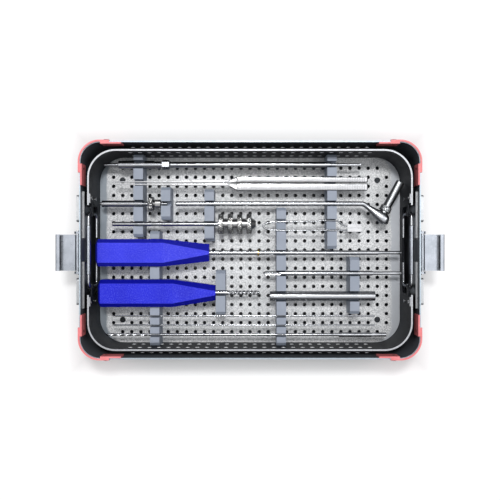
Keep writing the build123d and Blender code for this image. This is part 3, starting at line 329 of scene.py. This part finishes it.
case_bare = (0.42, 0.48, 0.53)
tray_bare = (0.44, 0.45, 0.47)
case_tone = (0.105, 0.115, 0.132)
tray_tone = (0.016, 0.018, 0.022)
case_vents = [31 * MM]
tray_vents = [tray_rim - 12 * MM, tray_rim - 33.5 * MM]
eye_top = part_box("handle_eyes_left")[1].z
dark_case = anodised("case anodised", case_rim, case_vents, case_bare, case_tone)
dark_tray = anodised("tray anodised", tray_rim, tray_vents, tray_bare, tray_tone)
dark_eyes = anodised("eye plate anodised", eye_top, [], tray_bare, tray_tone)
plate = blasted_plate()
bars = silicone()
guards = guard_plastic()
blue_1 = handle_blue("handle blue 1", (0.020, 0.025, 0.66), (0.030, 0.036, 0.76))
blue_2 = handle_blue("handle blue 2", (0.008, 0.012, 0.58), (0.014, 0.020, 0.68))
turned = metal(
    "turned steel", (0.40, 0.41, 0.43), (0.50, 0.51, 0.53), (0.17, 0.27), 900.0, (4.0, 0.3, 0.3),
)
satin = metal(
    "satin steel", (0.34, 0.35, 0.37), (0.44, 0.45, 0.47), (0.20, 0.32), 700.0, (1.0, 1.0, 1.0),
)
polished = metal(
    "polished steel", (0.56, 0.56, 0.57), (0.66, 0.66, 0.67), (0.12, 0.22), 600.0, (0.15, 3, 3), 0.05,
)
knurled_steel = metal(
    "knurled steel", (0.36, 0.36, 0.36), (0.46, 0.46, 0.45), (0.16, 0.26), 1200.0, (3.0, 1.0, 1.0),
)
aluminium = metal(
    "strip aluminium", (0.36, 0.37, 0.38), (0.44, 0.45, 0.46), (0.26, 0.40), 800.0, (2.0, 0.2, 2.0),
)
latch_steel = metal(
    "latch steel", (0.27, 0.29, 0.32), (0.36, 0.38, 0.42), (0.26, 0.40), 650.0, (3.0, 0.2, 1.0),
)
screw_steel = metal(
    "screw steel", (0.018, 0.020, 0.022), (0.034, 0.036, 0.040), (0.24, 0.36), 500.0, (1.0, 1.0, 1.0),
)
blasted_steel = metal(
    "blasted steel", (0.24, 0.25, 0.26), (0.34, 0.35, 0.36), (0.30, 0.44), 700.0, (1.0, 1.0, 1.0),
)
gold = metal(
    "gold ring", (0.78, 0.52, 0.18), (0.92, 0.68, 0.28), (0.15, 0.25), 900.0, (4.0, 0.3, 0.3),
)

# Nodes that aren't named here are turned steel.
node_paint = {
    "case_shell": dark_case,
    "tray_body": dark_tray,
    "tray_flange": dark_tray,
    "handle_eyes_left": dark_eyes,
    "handle_eyes_right": dark_eyes,
    "base_plate": plate,
    "guide_strips": aluminium,
    "end_wall_pads": aluminium,
    "strip_rivets": aluminium,
    "bracket_rivets": aluminium,
    "tray_feet": aluminium,
    "eye_rivets": polished,
    "guard_screws": satin,
    "plate_screws": screw_steel,
    "driver_1_handle": blue_1,
    "driver_2_handle": blue_2,
    "driver_1_ring": gold,
    "forceps_outer_leg": polished,
    "forceps_inner_leg": polished,
    "screw_clip_jaws": polished,
    "ribbed_handle": knurled_steel,
    "drill_guide_arm": satin,
    "drill_guide_tube": satin,
    "depth_gauge_nut": satin,
}
for side in ("left", "right"):
    node_paint["latch_plate_" + side] = latch_steel
    node_paint["latch_bracket_" + side] = latch_steel
    node_paint["latch_pin_" + side] = polished
    node_paint["wire_handle_" + side] = turned
    node_paint["handle_grip_" + side] = latch_steel
for name, node in frame["nodes"].items():
    paint = node_paint.get(name, turned)
    if name.startswith("holder_bar"):
        paint = bars
    if name.startswith("corner_guard"):
        paint = guards
    node.data.materials.clear()
    node.data.materials.append(paint)


# ---------------------------------------------------------------- meshes that stand for a node
SMOOTH_BELOW = math.radians(35.0)   # sharper edges than this stay crisp
CUT_STEP = 0.45                     # millimetres between the rings of a cut section


def body_of(node):
    return frame["nodes"][node]["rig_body"]


def middle_of(node):
    low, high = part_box(node)
    return Vector(((low.x + high.x) / 2, (low.y + high.y) / 2, (low.z + high.z) / 2))


def linked(name, data):
    piece = bpy.data.objects.new(name, data)
    bpy.context.scene.collection.objects.link(piece)
    return piece


def piece_of(name, mesh):
    data = bpy.data.meshes.new(name)
    mesh.to_mesh(data)
    mesh.free()
    return linked(name, data)


def skinned(name, mesh, rings):
    """A closed piece whose skin runs from ring to ring, capped unless the last is the first."""
    sides = len(rings[0])
    for near, far in zip(rings, rings[1:]):
        for index in range(sides):
            after = (index + 1) % sides
            mesh.faces.new((near[index], near[after], far[after], far[index]))
    if rings[-1] is not rings[0]:
        mesh.faces.new(rings[0][::-1])
        mesh.faces.new(rings[-1])
    bmesh.ops.recalc_face_normals(mesh, faces=mesh.faces)
    return piece_of(name, mesh)


def line_of(parts, start):
    """Stations (x, radius, cut) from (length, near diameter, far diameter, cut) in millimetres."""
    stations = []
    x = start
    for length, near, far, cut in parts:
        step = CUT_STEP if cut else length
        count = max(1, round(length / step))
        for index in range(count + 1):
            share = index / count
            radius = (near + (far - near) * share) / 2
            stations.append((x + length * share * MM, radius * MM, cut))
        x += length * MM
    return stations


def length_of(parts):
    return sum(part[0] for part in parts)


def lathe(name, stations, sides, bore=0.0):
    """A closed turned mesh along X, with an optional bore. cut(x, angle) scales the radius."""
    mesh = bmesh.new()

    def ring_at(x, radius, cut):
        ring = []
        for index in range(sides):
            angle = 2 * math.pi * index / sides
            size = radius * (cut(x, angle) if cut else 1.0)
            ring.append(mesh.verts.new((x, size * math.cos(angle), size * math.sin(angle))))
        return ring

    rings = [ring_at(x, radius, cut) for x, radius, cut in stations]
    if bore:
        rings.append(ring_at(stations[-1][0], bore, None))
        rings.append(ring_at(stations[0][0], bore, None))
        rings.append(rings[0])
    return skinned(name, mesh, rings)


def loft(name, stations, sides, square):
    """A closed solid through sections: (middle, direction, half width, half height) of each.

    The sections stand upright; square above 1 flattens their sides, from ellipse to box.
    """
    mesh = bmesh.new()
    rings = []
    for middle, direction, wide, high in stations:
        across = Vector((-math.sin(direction), math.cos(direction), 0.0))
        ring = []
        for index in range(sides):
            angle = 2 * math.pi * (index + 0.5) / sides
            out = math.copysign(abs(math.cos(angle)) ** (1 / square), math.cos(angle))
            up = math.copysign(abs(math.sin(angle)) ** (1 / square), math.sin(angle))
            spot = Vector(middle) + across * (wide * out) + Vector((0, 0, high * up))
            ring.append(mesh.verts.new(spot))
        rings.append(ring)
    return skinned(name, mesh, rings)


def smooth(piece):
    piece.data.shade_smooth()
    bpy.context.view_layer.objects.active = piece
    piece.select_set(True)
    bpy.ops.object.shade_smooth_by_angle(angle=SMOOTH_BELOW)
    piece.select_set(False)


def stands_for(piece, node, paint, matrix=None):
    """Puts piece on the CAD node's axis, which runs along X through the middle of its box."""
    if matrix is None:
        middle = middle_of(node)
        matrix = Matrix.Translation((0, middle.y, middle.z))
    piece.data.transform(matrix)
    piece.data.materials.append(paint)
    smooth(piece)
    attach(piece, body_of(node))
    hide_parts(node)


# ---------------------------------------------------------------- cuts, as cut(x, angle)
def flutes(count, pitch, depth, width):
    """Helical flutes: pitch is the millimetres for one turn."""
    def cut(x, angle):
        turn = 2 * math.pi * x / (pitch * MM)
        wave = 0.5 + 0.5 * math.cos(count * (angle - turn))
        return 1.0 - depth * wave ** width
    return cut


def knurl(count, pitch, depth):
    """Diamond knurl made of two crossing sets of grooves."""
    def cut(x, angle):
        turn = 2 * math.pi * x / (pitch * MM)
        one = abs(math.sin(0.5 * count * (angle - turn)))
        two = abs(math.sin(0.5 * count * (angle + turn)))
        return 1.0 - depth * (1.0 - min(one, two))
    return cut


def thread(count, pitch, depth, groove):
    """Threads of the given pitch with count straight flutes cut through them."""
    flute_starts = 0.55     # cosine at which a flute begins

    def cut(x, angle):
        turn = x / (pitch * MM) - angle / (2 * math.pi)
        tooth = abs(2.0 * (turn - math.floor(turn)) - 1.0)
        gap = max(0.0, math.cos(count * angle) - flute_starts) / (1.0 - flute_starts)
        return 1.0 - depth * tooth - groove * gap
    return cut


# ---------------------------------------------------------------- turned pieces
def drill_bit():
    low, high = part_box("drill_bit")
    fluted = flutes(2, 15.0, 0.36, 0.8)
    front = [(1.6, 0.4, 2.8, fluted), (40, 2.8, 2.8, fluted)]
    back = [(31, 4.4, 4.4, None), (0.8, 3.8, 3.8, None), (13.8, 3.8, 3.8, None)]
    plain = (high.x - low.x) / MM - length_of(front + back)
    parts = front + [(plain, 2.8, 2.8, None)] + back
    piece = lathe("drill_bit_fluted", line_of(parts, low.x), 32)
    stands_for(piece, "drill_bit", turned)


def driver_2_blade():
    low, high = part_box("driver_2_shaft")
    spiral = flutes(3, 11.0, 0.30, 0.9)
    blade = [(29.5, 4.4, 4.4, spiral), (0.5, 4.4, 3.4, spiral)]
    plain = (high.x - low.x) / MM - length_of(blade)
    parts = [(plain, 4.8, 4.8, None)] + blade
    piece = lathe("driver_2_spiral_shaft", line_of(parts, low.x), 36)
    stands_for(piece, "driver_2_shaft", turned)


def tap_piece():
    low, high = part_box("tap")
    threaded = thread(3, 1.25, 0.16, 0.30)
    front = [(2.0, 1.4, 4.2, threaded), (15.0, 4.2, 4.2, threaded)]
    back = [(0.8, 4.2, 4.2, None), (27.2, 3.4, 3.4, None), (0.5, 3.4, 2.4, None)]
    plain = (high.x - low.x) / MM - length_of(front + back)
    parts = front + [(plain, 4.8, 4.8, None)] + back
    piece = lathe("tap_threaded", line_of(parts, low.x), 36)
    stands_for(piece, "tap", turned)


def probe_piece():
    low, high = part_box("depth_gauge_probe")
    knurled = knurl(14, 24.0, 0.14)
    knob = [(0.5, 2.8, 3.6, None), (12.9, 3.6, 3.6, knurled)]
    end = [(0.5, 2.8, 1.8, None)]
    rod = (high.x - low.x) / MM - length_of(knob + end)
    parts = knob + [(rod, 2.8, 2.8, None)] + end
    piece = lathe("depth_probe_knurled", line_of(parts, low.x), 42)
    hook_radius, hook_reach, hook_inset = 0.8 * MM, 2.6 * MM, 1.3 * MM
    hook = lathe("hook", [(0, hook_radius, None), (hook_reach, hook_radius, None)], 24)
    hook.data.transform(Matrix.Rotation(math.radians(-90), 4, "Y"))
    hook.data.transform(Matrix.Translation((high.x - hook_inset, 0, 0)))
    joined = bmesh.new()
    joined.from_mesh(piece.data)
    joined.from_mesh(hook.data)
    joined.to_mesh(piece.data)
    joined.free()
    bpy.data.objects.remove(hook)
    tool_z = middle_of("depth_gauge_sleeve").z
    matrix = Matrix.Translation((0, (low.y + high.y) / 2, tool_z))
    stands_for(piece, "depth_gauge_probe", turned, matrix)


def coupling_sleeve_piece():
    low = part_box("coupling_sleeve")[0]
    knurled = knurl(26, 60.0, 0.10)
    disc = [(0.5, 12.3, 13.5, None), (4.0, 13.5, 13.5, knurled), (0.5, 13.5, 12.3, None)]
    collar = [(0.4, 7.2, 8.0, None), (4.8, 8.0, 8.0, None), (0.4, 8.0, 7.2, None)]
    parts = disc + [(1.2, 7.0, 7.0, None)] + collar
    piece = lathe("coupling_sleeve_knurled", line_of(parts, low.x), 104, 2.06 * MM)
    stands_for(piece, "coupling_sleeve", knurled_steel)


def guide_tube_piece():
    """The slanting tube: its axis turns from X, and its open end is the box's far corner."""
    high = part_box("drill_guide_tube")[1]
    slant = math.radians(61.1)
    radius = 4.1 * MM
    knurled = knurl(22, 70.0, 0.07)
    ring = [(0.4, 10.4, 11.0, None), (4.2, 11.0, 11.0, knurled), (0.4, 11.0, 10.4, None)]
    parts = [(1.5, 8.2, 8.2, None)] + ring + [(26.5, 8.2, 8.2, None), (0.5, 8.2, 7.6, None)]
    length = length_of(parts) * MM
    origin_x = high.x - length * math.cos(slant) - radius * math.sin(slant)
    origin_y = high.y - length * math.sin(slant) - radius * math.cos(slant)
    piece = lathe("drill_guide_tube_knurled", line_of(parts, 0.0), 88, 2.3 * MM)
    matrix = Matrix.Translation((origin_x, origin_y, middle_of("drill_guide_tube").z))
    matrix = matrix @ Matrix.Rotation(slant, 4, "Z")
    stands_for(piece, "drill_guide_tube", blasted_steel, matrix)


def ribbed_handle_piece():
    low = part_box("ribbed_handle")[0]
    knurled = knurl(30, 80.0, 0.05)
    rib = [(0.6, 18.0, 19.5, None), (3.8, 19.5, 19.5, knurled), (0.6, 19.5, 18.0, None)]
    waist = [(3.95, 10.6, 10.6, None)]
    parts = rib + 3 * (waist + rib) + [(4.0, 12.0, 6.0, None)]
    piece = lathe("ribbed_handle_knurled", line_of(parts, low.x), 120, 2.22 * MM)
    stands_for(piece, "ribbed_handle", knurled_steel)


# ---------------------------------------------------------------- lofted and bent pieces
def eased(share):
    """0 to 1, level at both ends."""
    return share * share * (3 - 2 * share)


def forceps_leg(node, sign, grip):
    """One leg on edge: a tine that tapers to its tip, a shoulder, and a grip with fine ribs.

    grip is the grip's width; sign is 1 for the leg beyond the gap and -1 for the one before it.
    """
    low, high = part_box(node)
    between_legs = 1.2 * MM
    tip_wide, neck_wide = 1.1 * MM, 2.2 * MM
    tip_half, neck_half, grip_half, end_half = 0.8 * MM, 1.5 * MM, 4 * MM, 3.4 * MM    # heights
    grip_length, shoulder_length, end_bevel = 124 * MM, 9.5 * MM, 0.8 * MM
    rib_pitch, plain_end, deep_length = 1.6 * MM, 3 * MM, 48 * MM
    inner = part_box("forceps_outer_leg")[0].y
    if sign < 0:
        inner -= between_legs
    tip, end = low.x, high.x
    shoulder = end - grip_length
    neck = shoulder - shoulder_length
    lines = []
    for index in range(13):
        share = index / 12
        wide = tip_wide + (neck_wide - tip_wide) * share
        lines.append((tip + (neck - tip) * share, wide, tip_half + (neck_half - tip_half) * share))
    for index in range(1, 9):
        share = index / 8
        rise = eased(share)
        wide = neck_wide + (grip - neck_wide) * rise
        half = neck_half + (grip_half - neck_half) * rise
        lines.append((neck + (shoulder - neck) * share, wide, half))
    x = shoulder + plain_end
    while x < end - plain_end:
        cut = (0.45 if x > end - deep_length else 0.20) * MM
        for along_rib, sunk in ((0.0, 0.0), (0.15, cut), (0.45, cut), (0.6, 0.0)):
            lines.append((x + along_rib * rib_pitch, grip - sunk, grip_half - sunk))
        x += rib_pitch
    lines += [(end - end_bevel, grip, grip_half), (end, grip - end_bevel, end_half)]
    stations = [((x, inner + sign * wide / 2, 0.0), 0.0, wide / 2, half) for x, wide, half in lines]
    piece = loft(node + "_tapered", stations, 24, 5.0)
    stands_for(piece, node, polished, Matrix.Translation((0, 0, middle_of(node).z)))


def guide_arm_piece():
    """The guide's rod, which bends into a swelling that holds the slanting tube."""
    low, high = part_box("drill_guide_arm")
    rod_y = middle_of("coupling_shaft").y
    turn = math.radians(-37.0)
    reach = 24.0 * MM                   # from the bend to the middle of the swelling
    swell, swell_half = 5.4 * MM, 4.3 * MM
    radius, bevel = 2.4 * MM, 0.5 * MM
    soft = 7.0 * MM                     # radius of the bend
    first = soft * math.tan(-turn / 2)  # from the corner of the bend to where it begins
    bend = high.x - swell - reach * math.cos(turn)
    stations = [
        ((low.x, rod_y, 0), 0.0, radius - bevel, radius - bevel),
        ((low.x + bevel, rod_y, 0), 0.0, radius, radius),
    ]
    centre = Vector((bend - first, rod_y - soft, 0))
    for index in range(11):
        angle = turn * index / 10
        spot = centre + Vector((-soft * math.sin(angle), soft * math.cos(angle), 0))
        stations.append((tuple(spot), angle, radius, radius))
    along = Vector((math.cos(turn), math.sin(turn), 0))
    root = Vector((bend, rod_y, 0))
    for index in range(1, 13):
        share = index / 12
        spot = root + along * (first + (reach - first) * share)
        grow = eased(share)
        half = radius + (swell_half - radius) * grow
        stations.append((tuple(spot), turn, radius + (swell - radius) * grow, half))
    for index in range(1, 9):
        angle = 0.5 * math.pi * index / 8.4
        spot = root + along * (reach + swell * math.sin(angle))
        size = math.cos(angle)
        stations.append((tuple(spot), turn, swell * size, swell_half * (0.35 + 0.65 * size)))
    piece = loft("drill_guide_bent_arm", stations, 32, 1.15)
    stands_for(piece, "drill_guide_arm", satin, Matrix.Translation((0, 0, (low.z + high.z) / 2)))


def screw_clip_piece():
    """The clip's spring wire: a pointed loop, a bow, and two ends that run into the jaws."""
    low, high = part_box("screw_clip_wire")
    wire = 0.8 * MM         # radius
    rise = 4.3 * MM         # half the loop's width
    jaw = high.x / MM
    tip = (low.x + wire) / MM
    loop = low.x / MM
    middle = (low.y + wire + rise) / MM
    jaw_mid = middle_of("screw_clip_jaws").y / MM
    upper, lower = middle + rise / MM, middle - rise / MM
    route = [
        (jaw, jaw_mid + 1.9), (jaw - 2.5, jaw_mid + 1.9), (jaw - 7, middle + 3.4),
        (jaw - 11, upper + 1.2), (jaw - 26, upper + 1.2), (jaw - 29, upper - 0.1),
        (jaw - 42, upper), (loop + 14, upper - 0.2), (loop + 7, upper - 0.6),
        (tip, middle + 1.2), (tip, middle - 1.2),
        (loop + 7, lower + 0.5), (loop + 14, lower + 0.1), (jaw - 26, lower),
        (jaw - 23, lower + 0.3), (jaw - 8, lower + 0.1), (jaw - 3, jaw_mid - 1.9),
        (jaw, jaw_mid - 1.9),
    ]
    curve = bpy.data.curves.new("clip_route", "CURVE")
    curve.dimensions = "3D"
    curve.bevel_depth = wire
    curve.bevel_resolution = 4
    curve.use_fill_caps = True
    spline = curve.splines.new("NURBS")
    spline.points.add(len(route) - 1)
    for point, (x, y) in zip(spline.points, route):
        point.co = (x * MM, y * MM, (low.z + high.z) / 2, 1.0)
    spline.order_u = 3
    spline.use_endpoint_u = True
    spline.resolution_u = 6
    bent = linked("clip_route", curve)
    data = bpy.data.meshes.new_from_object(bent)
    bpy.data.objects.remove(bent)
    piece = linked("screw_clip_bent_wire", data)
    stands_for(piece, "screw_clip_wire", turned, Matrix.Identity(4))


drill_bit()
driver_2_blade()
forceps_leg("forceps_outer_leg", 1, 5.2 * MM)
forceps_leg("forceps_inner_leg", -1, 6.8 * MM)
guide_arm_piece()
screw_clip_piece()
tap_piece()
probe_piece()
coupling_sleeve_piece()
guide_tube_piece()
ribbed_handle_piece()


# ---------------------------------------------------------------- floor, light, camera
def floor_piece():
    """A pale floor that glows a little, except under the case, where holes show it; the glow fades
    out towards the case, a painted shadow round it.
    """
    half_size = 4.0
    fade = 35 * MM
    mesh = bmesh.new()
    bmesh.ops.create_grid(mesh, x_segments=8, y_segments=8, size=half_size)
    floor = piece_of("floor", mesh)
    paint = Paint("pale floor", roughness=0.8)
    cloud = paint.noise(3.0, 2.0)
    dark_x, dark_y = cad_high.x - 30 * MM, cad_high.y - 8 * MM
    beyond_x = paint.math("SUBTRACT", paint.math("ABSOLUTE", paint.axis("X")), dark_x)
    beyond_y = paint.math("SUBTRACT", paint.math("ABSOLUTE", paint.axis("Y")), dark_y)
    # painted shadow: the glow fades to nothing over 35 mm as it nears the case
    glow_past_painted_shadow = paint.between(paint.math("MAXIMUM", beyond_x, beyond_y), 0.0, fade)
    paint.set(
        Base_Color=paint.mix(cloud, (0.60, 0.60, 0.60), (0.63, 0.63, 0.63)),
        Emission_Strength=paint.math("MULTIPLY", glow_past_painted_shadow, 0.45),
    )
    paint.shader.inputs["Specular IOR Level"].default_value = 0.0
    paint.shader.inputs["Emission Color"].default_value = (1.0, 1.0, 1.0, 1.0)
    floor.data.materials.append(paint.material)


def area_light(name, place, size, energy):
    """A lamp that points at the middle of the case."""
    target = Vector((0, 0, 0.03))
    data = bpy.data.lights.new(name, "AREA")
    data.shape = "RECTANGLE"
    data.size, data.size_y = size
    data.energy = energy
    lamp = linked(name, data)
    lamp.location = place
    lamp.visible_camera = False
    lamp.rotation_euler = (target - Vector(place)).to_track_quat("-Z", "Y").to_euler()


def soft_sky():
    """Bright overhead and dark at the horizon, brighter from the right; pale to the camera."""
    world = bpy.data.worlds.new("studio")
    bpy.context.scene.world = world
    world.use_nodes = True
    tree = world.node_tree
    tree.nodes.clear()
    output = tree.nodes.new("ShaderNodeOutputWorld")
    background = tree.nodes.new("ShaderNodeBackground")
    coords = tree.nodes.new("ShaderNodeTexCoord")
    split = tree.nodes.new("ShaderNodeSeparateXYZ")
    ramp = tree.nodes.new("ShaderNodeValToRGB")
    tree.links.new(coords.outputs["Generated"], split.inputs[0])
    tree.links.new(split.outputs["Z"], ramp.inputs["Fac"])
    stops = ramp.color_ramp.elements
    stops[0].position, stops[0].color = 0.10, (0.10, 0.10, 0.105, 1.0)
    stops[1].position, stops[1].color = 0.89, (0.97, 0.98, 1.0, 1.0)
    stops.new(0.78).color = (0.22, 0.22, 0.23, 1.0)
    side = tree.nodes.new("ShaderNodeMapRange")
    side.inputs["From Min"].default_value = -0.30
    side.inputs["From Max"].default_value = 0.30
    side.inputs["To Min"].default_value = 0.65
    side.inputs["To Max"].default_value = 1.60
    tree.links.new(split.outputs["X"], side.inputs["Value"])
    tree.links.new(side.outputs["Result"], background.inputs["Strength"])
    tree.links.new(ramp.outputs["Color"], background.inputs["Color"])
    backdrop = tree.nodes.new("ShaderNodeBackground")
    backdrop.inputs["Color"].default_value = (0.90, 0.90, 0.91, 1.0)
    seen = tree.nodes.new("ShaderNodeLightPath")
    chosen = tree.nodes.new("ShaderNodeMixShader")
    tree.links.new(seen.outputs["Is Camera Ray"], chosen.inputs[0])
    tree.links.new(background.outputs[0], chosen.inputs[1])
    tree.links.new(backdrop.outputs[0], chosen.inputs[2])
    tree.links.new(chosen.outputs[0], output.inputs["Surface"])


def camera_above():
    """Straight down from 600 mm above the case's rim, as the photograph was taken."""
    data = bpy.data.cameras.new("camera")
    data.lens = 47.2
    data.sensor_width = 36.0
    data.clip_start = 0.01
    data.clip_end = 20.0
    camera = linked("camera", data)
    camera.location = (0.0, 0.0, case_rim + 0.600)
    bpy.context.scene.camera = camera


floor_piece()
soft_sky()
area_light("key", (0.0, 0.50, 1.60), (0.26, 0.20), 12.5)
area_light("softbox_left", (-0.62, 0.10, 0.78), (0.30, 0.50), 1.3)
area_light("softbox_right", (0.62, 0.10, 0.78), (0.30, 0.50), 1.3)
camera_above()
bpy.context.scene.view_settings.view_transform = "Standard"
